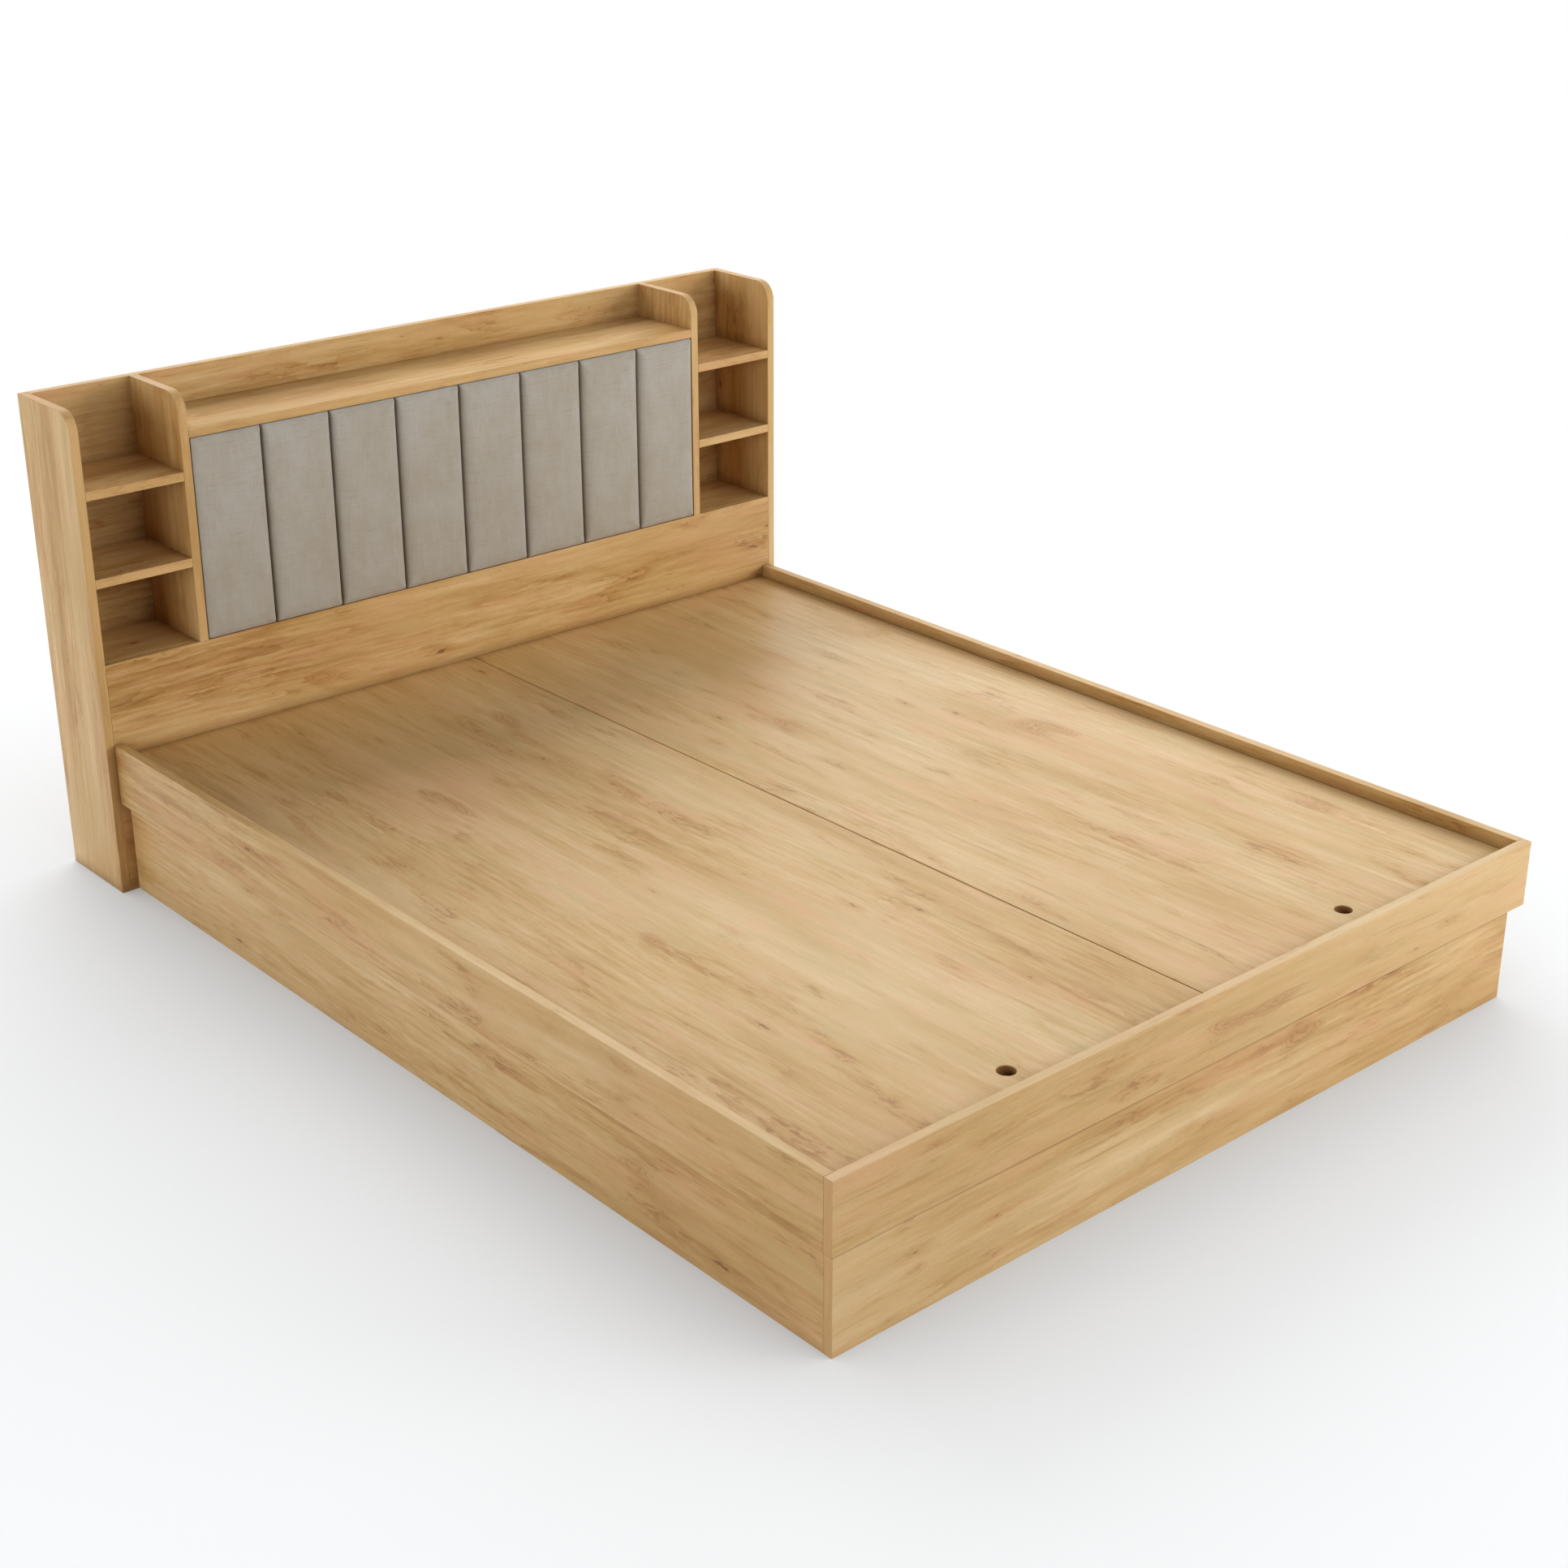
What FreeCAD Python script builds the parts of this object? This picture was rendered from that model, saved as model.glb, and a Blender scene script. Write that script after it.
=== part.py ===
import FreeCAD, Part
import math
import os

from FreeCAD import Vector

# Storage bed for a 160 by 200 cm mattress, with an upholstered bookcase headboard.
# Millimetres, Z up. The origin is the middle of the outline on the floor, the headboard is at +Y.

# Mattress space inside the rails
mattress_width = 1600.0
mattress_length = 2000.0
play_across = 20.0
play_along = 20.0

# Board stock
board = 18.0
mount_board = 12.0
floor_board = 9.0
core_board = 6.0
edge_round = 1.0

# Storage box under the deck
box_height = 266.0
rail_height = 123.0
rail_lip = 25.0
bearer_width = 80.0
floor_cleat = 20.0
floor_clearance = 10.0

# Headboard
headboard_height = 960.0
headboard_depth = 200.0
corner_radius = 40.0
tower_width = 201.5
front_board_top = 470.0
tower_shelf_pitch = 170.0
ledge_drop = 70.0
back_panel_clearance = 60.0
mount_board_tuck = 40.0
pad_cleat = 20.0

# Upholstered channels
pad_count = 8
pad_gap = 1.0
pad_proud = 6.0
pad_crown = 4.0
pad_shoulder = 9.0
pad_end_round = 8.0
pad_edge_gap = 0.5
core_inset = 2.0
pad_round_steps = 5
shoulder_share = 0.8

# Lids and their finger holes
lid_seam = 2.5
lid_side_gap = 1.5
lid_foot_gap = 2.5
lid_head_gap = 3.0
finger_hole_radius = 15.5
finger_hole_inset = 62.0
finger_hole_chamfer = 1.0

# Butt hinges under the head end of each lid
hinge_overhang = 60.0
hinge_rise = 1.5
hinge_length = 80.0
hinge_leaf_width = 30.0
hinge_leaf = 2.0
hinge_offset = 5.0
hinge_knuckles = 5
hinge_barrel_clearance = 0.3
hinge_knuckle_gap = 0.4
hinge_pin_radius = 2.5
hinge_pin_clearance = 0.05
hinge_pin_head_radius = 4.0
hinge_pin_head = 1.2
hinge_pocket_end_gap = 0.8
hinge_pocket_margin = 5.0
hinge_pocket_foot_gap = 1.0
hinge_shares = (0.2, 0.8)
leaf_screw_shares = (0.16, 0.5, 0.84)
leaf_screw_line_share = 0.62
lid_swing_clearance = 3.0

# Angle brackets
bracket_leg = 40.0
bracket_width = 30.0
bracket_sheet = 2.0
bracket_hole_shares = (0.42, 0.8)
bracket_low_share = 0.36
bracket_high_share = 0.62

# Shelf fittings
cam_radius = 7.5
cam_depth = 12.5
cam_setback = 24.0
cam_slot_width = 2.0
cam_slot_depth = 2.0
cam_bolt_radius = 3.0
cam_bolt_knob_radius = 3.6
cam_bolt_knob = 3.0
cam_bolt_depth = 11.0
dowel_radius = 4.0
dowel_length = 30.0
dowel_depth = 11.0
cam_shares = (0.2, 0.8)
dowel_share = 0.5

# Clearance round a fitting or a screw in its hole, and the overrun of every through cut
fitting_clearance = 0.1
overrun = 1.0

# Screws
wood_screw_radius = 2.0
wood_screw_length = 30.0
wood_screw_head_radius = 4.0
wood_screw_head = 2.4
short_screw_radius = 2.0
short_screw_length = 16.0
short_screw_head_radius = 4.0
short_screw_head = 2.0
hinge_screw_radius = 1.8
hinge_screw_length = 11.0
hinge_screw_head_radius = 3.4
hinge_screw_head = 1.8
rail_screw_count = 6
foot_screw_count = 5
bearer_screw_count = 6
cleat_screw_count = 5
inner_cleat_screw_count = 4
back_screw_count = 4
ledge_screw_count = 3
pad_cleat_screw_count = 3
screw_end_share = 0.07
cleat_end_share = 0.05
inner_cleat_end_shares = {-1: 0.05, 1: 0.15}
pad_screw_shares = (0.25, 0.75)

# Screw kinds: shank radius, length, head radius, head height, countersunk or not
wood_screw = (wood_screw_radius, wood_screw_length, wood_screw_head_radius, wood_screw_head, True)
short_screw = (short_screw_radius, short_screw_length, short_screw_head_radius, short_screw_head, False)
hinge_screw = (hinge_screw_radius, hinge_screw_length, hinge_screw_head_radius, hinge_screw_head, True)

# Main lines across the bed, from the middle outwards
inner_half = (mattress_width + play_across) / 2
rail_half = inner_half + board
side_half = rail_half + board
box_inner_half = inner_half - board
divider_outer = rail_half - tower_width
divider_inner = divider_outer - board

# Main lines along the bed
deck_length = mattress_length + play_along
bed_length = deck_length + board
total_length = bed_length + headboard_depth
front = total_length / 2 - headboard_depth
back = front + headboard_depth
foot_inner = front - deck_length
foot_outer = front - bed_length
front_board_back = front + board
back_panel_front = back - board
box_foot_inner = foot_inner + board

# Main levels
deck_top = box_height + board
rail_top = deck_top + rail_lip
rail_bottom = rail_top - rail_height
bearer_bottom = box_height - board
cleat_top = floor_clearance + floor_cleat
floor_top = cleat_top + floor_board
ledge_top = headboard_height - ledge_drop
ledge_bottom = ledge_top - board

# Hinge line
pivot_y = front - lid_head_gap - hinge_overhang
pivot_z = box_height + hinge_rise
head_panel_back = pivot_y - hinge_offset
head_panel_front = head_panel_back - board
lid_thickness_over_pivot = deck_top - pivot_z
lid_swing = math.hypot(hinge_overhang, lid_thickness_over_pivot)
notch_bottom = pivot_z - lid_swing - lid_swing_clearance
barrel_radius = hinge_offset - hinge_barrel_clearance

# The cross partitions stand half way along the storage box
cross_middle = (box_foot_inner + head_panel_front) / 2
cross_front = cross_middle - board / 2
cross_back = cross_middle + board / 2

# Pads
pads_width = 2 * divider_inner
pad_pitch = pads_width / pad_count
pad_bottom = front_board_top + pad_edge_gap
pad_top = ledge_bottom - pad_edge_gap
core_front = front_board_back - core_board
mount_back = front_board_back + mount_board

SIDES = ((-1, "left"), (1, "right"))
X_AXIS = Vector(1, 0, 0)
Y_AXIS = Vector(0, 1, 0)
Z_AXIS = Vector(0, 0, 1)

nodes = {}
drills = []


def ordered(a, b):
    return (min(a, b), max(a, b))


def block(across, along, up):
    """A plain board between two limits on each axis."""
    (x0, x1), (y0, y1), (z0, z1) = ordered(*across), ordered(*along), ordered(*up)
    return Part.makeBox(x1 - x0, y1 - y0, z1 - z0, Vector(x0, y0, z0))


def banded(across, along, up):
    """A board with the small edge round of its banding."""
    shape = block(across, along, up)
    return shape.makeFillet(edge_round, shape.Edges)


def tube(radius, height, base, axis):
    return Part.makeCylinder(radius, height, base, axis)


def places(low, high, count, end_share):
    """Evenly spaced places along a line, kept in from its ends."""
    inset = (high - low) * end_share
    step = (high - low - 2 * inset) / (count - 1)
    return [low + inset + index * step for index in range(count)]


def along_span(span, share):
    return span[0] + (span[1] - span[0]) * share


def meets(shape, tool):
    return shape.BoundBox.intersect(tool.BoundBox)


def drilled(shape):
    """The board with every screw, dowel and cam hole that reaches it."""
    tools = [tool for tool in drills if meets(shape, tool)]
    return shape.cut(tools) if tools else shape


def add(name, shape):
    nodes[name] = shape


def add_group(name, shapes):
    nodes[name] = Part.makeCompound(shapes)


# Screws

def turned(sections, base, axis):
    """A round piece from (radius at start, radius at end, length) sections along an axis."""
    parts = []
    reach = 0
    for start, end, length in sections:
        place = base + axis * reach
        if start == end:
            parts.append(Part.makeCylinder(start, length, place, axis))
        else:
            parts.append(Part.makeCone(start, end, length, place, axis))
        reach += length
    shape = parts[0]
    for part in parts[1:]:
        shape = shape.fuse(part)
    return shape.removeSplitter()


def screw(kind, head, direction):
    """One screw, with its head's seat at a point, and the hole it needs."""
    shank, length, head_radius, head_height, countersunk = kind
    tip = 2 * shank
    run = length - head_height - tip if countersunk else length - tip
    body = [(shank, shank, run), (shank, shank / 4, tip)]
    hole = fitting_clearance
    if countersunk:
        shape = turned([(head_radius, shank, head_height)] + body, head, direction)
        sink = (head_radius + hole, shank + hole, head_height)
        bore = (shank + hole, shank + hole, run + tip + hole)
        drills.append(turned([sink, bore], head, direction))
    else:
        top = head - direction * head_height
        shape = turned([(head_radius, head_radius, head_height)] + body, top, direction)
        drills.append(tube(shank + hole, length + hole, head, direction))
    return shape


def hinge_screws(side, fixed):
    """The screws of one lid's hinge leaves, fixed or moving."""
    shapes = []
    line = hinge_leaf_width * leaf_screw_line_share
    for low, high in hinge_spans(side):
        for share in leaf_screw_shares:
            x = along_span((low, high), share)
            if fixed:
                head = Vector(x, pivot_y - hinge_offset + hinge_leaf, pivot_z - line)
                shapes.append(screw(hinge_screw, head, -Y_AXIS))
            else:
                head = Vector(x, pivot_y + line, pivot_z + hinge_offset - hinge_leaf)
                shapes.append(screw(hinge_screw, head, Z_AXIS))
    return shapes


def lid_span(side):
    return ordered(side * lid_seam / 2, side * (inner_half - lid_side_gap))


def hinge_spans(side):
    """Where each hinge of a lid lies along the hinge line."""
    spans = []
    for share in hinge_shares:
        middle = along_span(lid_span(side), share)
        spans.append((middle - hinge_length / 2, middle + hinge_length / 2))
    return spans


# Angle brackets

def bracket(corner, across, along):
    """An angle bracket in an inner corner. Its legs point along X and Y by the given signs."""
    x, y, z = corner
    up = (z - bracket_width / 2, z + bracket_width / 2)
    first = block((x, x + across * bracket_leg), (y, y + along * bracket_sheet), up)
    second = block((x, x + across * bracket_sheet), (y, y + along * bracket_leg), up)
    shape = first.fuse(second).removeSplitter()
    screws = []
    for share in bracket_hole_shares:
        reach = bracket_leg * share
        on_first = Vector(x + across * reach, y + along * bracket_sheet, z)
        on_second = Vector(x + across * bracket_sheet, y + along * reach, z)
        screws.append(screw(short_screw, on_first, -Y_AXIS * along))
        screws.append(screw(short_screw, on_second, -X_AXIS * across))
    return shape, screws


def bracket_corners():
    """Each inner corner that has a bracket: its place and the ways its legs point."""
    low = box_height * bracket_low_share
    high = box_height * bracket_high_share
    corners = []
    for side, _ in SIDES:
        wall = side * box_inner_half
        middle = side * board / 2
        stagger = high if side < 0 else low
        corners.append(((wall, box_foot_inner, high), -side, 1))
        corners.append(((wall, head_panel_front, high), -side, -1))
        corners.append(((wall, front, low), -side, -1))
        corners.append(((middle, box_foot_inner, stagger), side, 1))
        corners.append(((middle, head_panel_front, stagger), side, -1))
        corners.append(((wall, cross_front, high), -side, -1))
        corners.append(((middle, cross_front, stagger), side, -1))
        corners.append(((side * rail_half, front_board_back, low), -side, 1))
        corners.append(((side * rail_half, front_board_back, rail_top), -side, 1))
        corners.append(((side * divider_outer, front_board_back, high), side, 1))
        corners.append(((side * rail_half, back_panel_front, high), -side, -1))
    return corners


# Shelf fittings

def shelf_fittings(shelf_end, into, along, underside):
    """Cams, bolts and a dowel at one end of a shelf. The shelf runs from its end along into."""
    cams = []
    bolts = []
    level = underside + board / 2
    inwards = X_AXIS * into
    for share in cam_shares:
        y = along_span(along, share)
        axis_start = Vector(shelf_end, y, level)
        centre = Vector(shelf_end + into * cam_setback, y, underside)
        cam = tube(cam_radius, cam_depth, centre, Z_AXIS)
        throat = cam_bolt_knob_radius + 2 * fitting_clearance
        reach = cam_setback + cam_bolt_knob
        cam = cam.cut(tube(throat, reach, axis_start, inwards))
        half_slot = cam_slot_width / 2
        slot = block((centre.x - cam_radius, centre.x + cam_radius), (y - half_slot, y + half_slot),
                     (underside, underside + cam_slot_depth))
        cams.append(cam.cut(slot))
        bolt_start = axis_start - inwards * cam_bolt_depth
        shank = (cam_bolt_radius, cam_bolt_radius, cam_bolt_depth + cam_setback - cam_bolt_knob / 2)
        knob = (cam_bolt_knob_radius, cam_bolt_knob_radius, cam_bolt_knob)
        bolts.append(turned([shank, knob], bolt_start, inwards))
        drills.append(tube(cam_radius + fitting_clearance, cam_depth + fitting_clearance, centre, Z_AXIS))
        drills.append(tube(throat, reach, axis_start, inwards))
        drills.append(tube(cam_bolt_radius + fitting_clearance, cam_bolt_depth + fitting_clearance,
                           axis_start, -inwards))
    dowel_start = Vector(shelf_end, along_span(along, dowel_share), level) - inwards * dowel_depth
    dowel = tube(dowel_radius, dowel_length, dowel_start, inwards)
    drills.append(tube(dowel_radius + fitting_clearance, dowel_length + 2 * fitting_clearance,
                       dowel_start - inwards * fitting_clearance, inwards))
    return cams, bolts, dowel


def tower_shelves():
    """Name, limits and underside of each tower shelf."""
    rows = []
    for side, name in SIDES:
        across = ordered(side * rail_half, side * divider_outer)
        for level, label in enumerate(("floor", "lower", "upper")):
            start = front_board_back if level == 0 else front
            underside = front_board_top + level * tower_shelf_pitch - board
            rows.append(("tower_%s_%s_shelf" % (name, label), across, (start, back_panel_front), underside))
    return rows


def ledge_limits():
    return (-divider_inner, divider_inner), (front, back_panel_front)


# Fasteners and fittings come first, because the boards take their holes from them

def make_brackets():
    brackets = []
    screws = []
    for corner, across, along in bracket_corners():
        shape, own_screws = bracket(corner, across, along)
        brackets.append(drilled(shape))
        screws += own_screws
    return brackets, screws


def make_pad_screws():
    screws = []
    for index in range(pad_count):
        x = -divider_inner + pad_pitch * (index + 1 / 2)
        for share in pad_screw_shares:
            z = along_span((pad_bottom, pad_top), share)
            screws.append(screw(short_screw, Vector(x, mount_back, z), -Y_AXIS))
    return screws


def make_wood_screws():
    screws = []
    rail_level = (rail_bottom + box_height) / 2
    cleat_level = floor_clearance + floor_cleat / 2
    for side, _ in SIDES:
        outwards = X_AXIS * side
        for y in places(box_foot_inner, head_panel_front, rail_screw_count, screw_end_share):
            screws.append(screw(wood_screw, Vector(side * box_inner_half, y, rail_level), outwards))
        for y in places(box_foot_inner, head_panel_front, cleat_screw_count, cleat_end_share):
            outer = Vector(side * (box_inner_half - floor_cleat), y, cleat_level)
            screws.append(screw(wood_screw, outer, outwards))
        end_share = inner_cleat_end_shares[side]
        for y in places(box_foot_inner, head_panel_front, inner_cleat_screw_count, end_share):
            inner = Vector(side * (board / 2 + floor_cleat), y, cleat_level)
            screws.append(screw(wood_screw, inner, -outwards))
        for z in places(pad_bottom, pad_top, pad_cleat_screw_count, screw_end_share):
            rear = Vector(side * (divider_inner - pad_cleat), mount_back + pad_cleat / 2, z + pad_cleat)
            screws.append(screw(wood_screw, rear, outwards))
            fore = Vector(side * (divider_inner - pad_cleat / 2), front_board_back, z)
            screws.append(screw(wood_screw, fore, Y_AXIS))
        middle = side * (divider_outer + divider_inner) / 2
        for z in places(back_panel_clearance, headboard_height, back_screw_count, 2 * screw_end_share):
            screws.append(screw(wood_screw, Vector(middle, back, z), -Y_AXIS))
    for x in places(-box_inner_half, box_inner_half, foot_screw_count, screw_end_share):
        screws.append(screw(wood_screw, Vector(x, box_foot_inner, rail_level), -Y_AXIS))
    for y in places(box_foot_inner, head_panel_front, bearer_screw_count, screw_end_share):
        screws.append(screw(wood_screw, Vector(0, y, box_height), -Z_AXIS))
    for x in places(-divider_inner, divider_inner, ledge_screw_count, screw_end_share):
        screws.append(screw(wood_screw, Vector(x, back, ledge_bottom + board / 2), -Y_AXIS))
    return screws


def make_shelf_fittings():
    cams = []
    bolts = []
    dowels = []
    shelves = [(across, along, underside) for _, across, along, underside in tower_shelves()]
    across, along = ledge_limits()
    shelves.append((across, along, ledge_bottom))
    for across, along, underside in shelves:
        for shelf_end, into in ((across[0], 1), (across[1], -1)):
            end_cams, end_bolts, dowel = shelf_fittings(shelf_end, into, along, underside)
            cams += end_cams
            bolts += end_bolts
            dowels.append(dowel)
    return cams, bolts, dowels


# Headboard

def upright(across, inner_notch):
    """A full height upright with a rounded top front corner, notched behind the front board or not."""
    low, high = across
    top = headboard_height
    rise = corner_radius * (1 - math.sqrt(1 / 2))
    arc = Part.Arc(Vector(low, front, top - corner_radius), Vector(low, front + rise, top - rise),
                   Vector(low, front + corner_radius, top)).toShape()
    edges = [Part.makeLine(Vector(low, back, 0), Vector(low, front, 0)),
             Part.makeLine(Vector(low, front, 0), Vector(low, front, top - corner_radius)), arc,
             Part.makeLine(Vector(low, front + corner_radius, top), Vector(low, back, top)),
             Part.makeLine(Vector(low, back, top), Vector(low, back, 0))]
    shape = Part.Face(Part.Wire(edges)).extrude(X_AXIS * (high - low))
    shape = shape.makeFillet(edge_round, shape.Edges)
    if inner_notch:
        past = (low - overrun, high + overrun)
        shape = shape.cut(block(past, (front - overrun, front_board_back), (-overrun, front_board_top)))
        shape = shape.cut(block(past, (back_panel_front, back + overrun), (-overrun, top + overrun)))
    return shape


def make_headboard():
    for side, name in SIDES:
        add("headboard_side_" + name, drilled(upright(ordered(side * rail_half, side * side_half), False)))
        across = ordered(side * divider_outer, side * divider_inner)
        add("headboard_divider_" + name, drilled(upright(across, True)))
        cleat = block((side * (divider_inner - pad_cleat), side * divider_inner),
                      (mount_back, mount_back + pad_cleat), (front_board_top, ledge_bottom))
        add("pad_board_cleat_" + name, drilled(cleat))
    between = (-rail_half, rail_half)
    back_panel = banded(between, (back_panel_front, back), (back_panel_clearance, headboard_height))
    add("headboard_back_panel", drilled(back_panel))
    add("headboard_front_board", drilled(banded(between, (front, front_board_back), (0, front_board_top))))
    across, along = ledge_limits()
    add("headboard_ledge_shelf", drilled(banded(across, along, (ledge_bottom, ledge_top))))
    for name, across, along, underside in tower_shelves():
        add(name, drilled(banded(across, along, (underside, underside + board))))
    mount = block((-divider_inner, divider_inner), (front_board_back, mount_back),
                  (front_board_top - mount_board_tuck, ledge_bottom))
    add("pad_mounting_board", drilled(mount))


def pad_section(x0, x1, z, pulled_back):
    """One level section of a channel: flat back, straight sides, round shoulders and a shallow crown."""
    edge = front - pad_proud + pad_crown + pulled_back
    radius = min(pad_shoulder, (core_front - edge) * shoulder_share)
    bend = radius * (1 - math.sqrt(1 / 2))
    crown = pad_crown * (radius / pad_shoulder)
    side = edge + radius
    points = [Vector(x1, core_front, z), Vector(x0, core_front, z), Vector(x0, side, z),
              Vector(x0 + radius, edge, z), Vector(x1 - radius, edge, z), Vector(x1, side, z)]
    left = Part.Arc(points[2], Vector(x0 + bend, edge + bend, z), points[3]).toShape()
    face = Part.Arc(points[3], Vector((x0 + x1) / 2, edge - crown, z), points[4]).toShape()
    right = Part.Arc(points[4], Vector(x1 - bend, edge + bend, z), points[5]).toShape()
    return Part.Wire([Part.makeLine(points[0], points[1]), Part.makeLine(points[1], points[2]),
                      left, face, right, Part.makeLine(points[5], points[0])])


def channel_pad(x0, x1):
    """A padded channel, drawn back in a quarter round at its top and bottom."""
    sections = []
    for step in range(pad_round_steps + 1):
        turn = math.pi / 2 * step / pad_round_steps
        rise = pad_end_round * (1 - math.cos(turn))
        pulled = pad_end_round * (1 - math.sin(turn))
        sections.append((pad_bottom + rise, pulled))
    mirrored = [(pad_bottom + pad_top - level, pulled) for level, pulled in reversed(sections)]
    wires = [pad_section(x0, x1, level, pulled) for level, pulled in sections + mirrored]
    return Part.makeLoft(wires, True, True)


def make_pads():
    cores = []
    for index in range(pad_count):
        start = -divider_inner + index * pad_pitch
        x0 = start + pad_gap / 2
        x1 = start + pad_pitch - pad_gap / 2
        add("channel_pad_%d" % (index + 1), channel_pad(x0, x1))
        core = block((x0 + core_inset, x1 - core_inset), (core_front, front_board_back),
                     (pad_bottom + core_inset, pad_top - core_inset))
        cores.append(drilled(core))
    add_group("pad_cores", cores)


# Storage box

def make_box():
    inside = (box_foot_inner, head_panel_front)
    for side, name in SIDES:
        rail = banded((side * inner_half, side * rail_half), (foot_inner, front), (rail_bottom, rail_top))
        add("rail_" + name, drilled(rail))
        panel = banded((side * box_inner_half, side * inner_half), (box_foot_inner, front), (0, box_height))
        past = (side * (box_inner_half - overrun), side * (inner_half + overrun))
        notch = block(past, (head_panel_back, front + overrun), (notch_bottom, box_height + overrun))
        add("box_side_" + name, drilled(panel.cut(notch)))
        bay = (side * board / 2, side * box_inner_half)
        cross = block(bay, (cross_front, cross_back), (floor_top, box_height))
        under_bearer = (0, side * bearer_width / 2)
        step = block(under_bearer, (cross_front, cross_back), (bearer_bottom, box_height + overrun))
        add("cross_partition_" + name, drilled(cross.cut(step)))
        floor = block(bay, inside, (cleat_top, floor_top))
        add("box_floor_" + name, floor)
        level = (floor_clearance, cleat_top)
        outer = block((side * (box_inner_half - floor_cleat), side * box_inner_half), inside, level)
        inner = block((side * board / 2, side * (board / 2 + floor_cleat)), inside, level)
        add("floor_cleat_%s_outer" % name, drilled(outer))
        add("floor_cleat_%s_inner" % name, drilled(inner))
    across = (-rail_half, rail_half)
    add("rail_foot", drilled(banded(across, (foot_outer, foot_inner), (rail_bottom, rail_top))))
    foot = banded((-inner_half, inner_half), (foot_inner, box_foot_inner), (0, box_height))
    add("box_foot_panel", drilled(foot))
    head = block((-box_inner_half, box_inner_half), (head_panel_front, head_panel_back), (0, box_height))
    add("box_head_panel", drilled(head))
    add("centre_partition", drilled(block((-board / 2, board / 2), inside, (0, bearer_bottom))))
    bearer = block((-bearer_width / 2, bearer_width / 2), inside, (bearer_bottom, box_height))
    add("centre_bearer", drilled(bearer))


# Lids and hinges

def knuckle_span(span, index):
    """One knuckle's reach along the pin, with a running gap at each end."""
    pitch = (span[1] - span[0]) / hinge_knuckles
    start = span[0] + index * pitch
    return (start + hinge_knuckle_gap / 2, start + pitch - hinge_knuckle_gap / 2)


def hinge_leaf_shape(span, fixed):
    """A leaf with its knuckles. The fixed leaf hangs down and the moving leaf runs to the head end."""
    axis_y = pivot_y
    clear = hinge_offset + hinge_barrel_clearance
    if fixed:
        along = (axis_y - hinge_offset, axis_y - hinge_offset + hinge_leaf)
        plate = block(span, along, (pivot_z - hinge_leaf_width, pivot_z - clear))
    else:
        up = (pivot_z + hinge_offset - hinge_leaf, pivot_z + hinge_offset)
        plate = block(span, (axis_y + clear, axis_y + hinge_leaf_width), up)
    shape = plate
    for index in range(hinge_knuckles):
        if (index % 2 == 0) != fixed:
            continue
        reach = knuckle_span(span, index)
        barrel = tube(barrel_radius, reach[1] - reach[0], Vector(reach[0], axis_y, pivot_z), X_AXIS)
        if fixed:
            root = block(reach, along, (pivot_z - clear - overrun, pivot_z))
        else:
            root = block(reach, (axis_y, axis_y + clear + overrun), up)
        shape = shape.fuse([barrel, root])
    bore = hinge_pin_radius if fixed else hinge_pin_radius + hinge_pin_clearance
    length = span[1] - span[0]
    pin_hole = tube(bore, length + 2 * overrun, Vector(span[0] - overrun, axis_y, pivot_z), X_AXIS)
    return drilled(shape.cut(pin_hole).removeSplitter())


def hinge_pin(span):
    """A pin with a flat head at each end, just outside the end knuckles."""
    first = knuckle_span(span, 0)[0]
    last = knuckle_span(span, hinge_knuckles - 1)[1]
    head = (hinge_pin_head_radius, hinge_pin_head_radius, hinge_pin_head)
    shank = (hinge_pin_radius, hinge_pin_radius, last - first)
    return turned([head, shank, head], Vector(first - hinge_pin_head, pivot_y, pivot_z), X_AXIS)


def make_lid(side, name):
    across = lid_span(side)
    along = (foot_inner + lid_foot_gap, pivot_y + hinge_overhang)
    shape = banded(across, along, (box_height, deck_top))
    middle = (across[0] + across[1]) / 2
    hole_y = along[0] + finger_hole_inset
    hole_base = Vector(middle, hole_y, box_height - overrun)
    hole = tube(finger_hole_radius, board + 2 * overrun, hole_base, Z_AXIS)
    flare_base = Vector(middle, hole_y, deck_top - finger_hole_chamfer)
    flare_top = finger_hole_radius + 2 * finger_hole_chamfer
    flare = Part.makeCone(finger_hole_radius, flare_top, 2 * finger_hole_chamfer, flare_base, Z_AXIS)
    shape = shape.cut([hole, flare])
    margin = hinge_pin_head + hinge_pocket_end_gap
    for low, high in hinge_spans(side):
        pocket = block((low - margin, high + margin),
                       (pivot_y - hinge_offset - hinge_pocket_foot_gap,
                        pivot_y + hinge_leaf_width + hinge_pocket_margin),
                       (box_height - overrun, pivot_z + hinge_offset))
        shape = shape.cut(pocket)
    add("lid_" + name, drilled(shape))


def make_hinges():
    """The leaves and pins of both lids' hinges. Their screws come first, for the holes."""
    for side, name in SIDES:
        add_group("lid_%s_leaf_screws" % name, hinge_screws(side, False))
    head_panel_screws = []
    for side, _ in SIDES:
        head_panel_screws += hinge_screws(side, True)
    add_group("head_panel_hinge_screws", head_panel_screws)
    for side, name in SIDES:
        spans = hinge_spans(side)
        add_group("lid_%s_fixed_leaves" % name, [hinge_leaf_shape(span, True) for span in spans])
        add_group("lid_%s_moving_leaves" % name, [hinge_leaf_shape(span, False) for span in spans])
        add_group("lid_%s_hinge_pins" % name, [hinge_pin(span) for span in spans])


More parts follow.
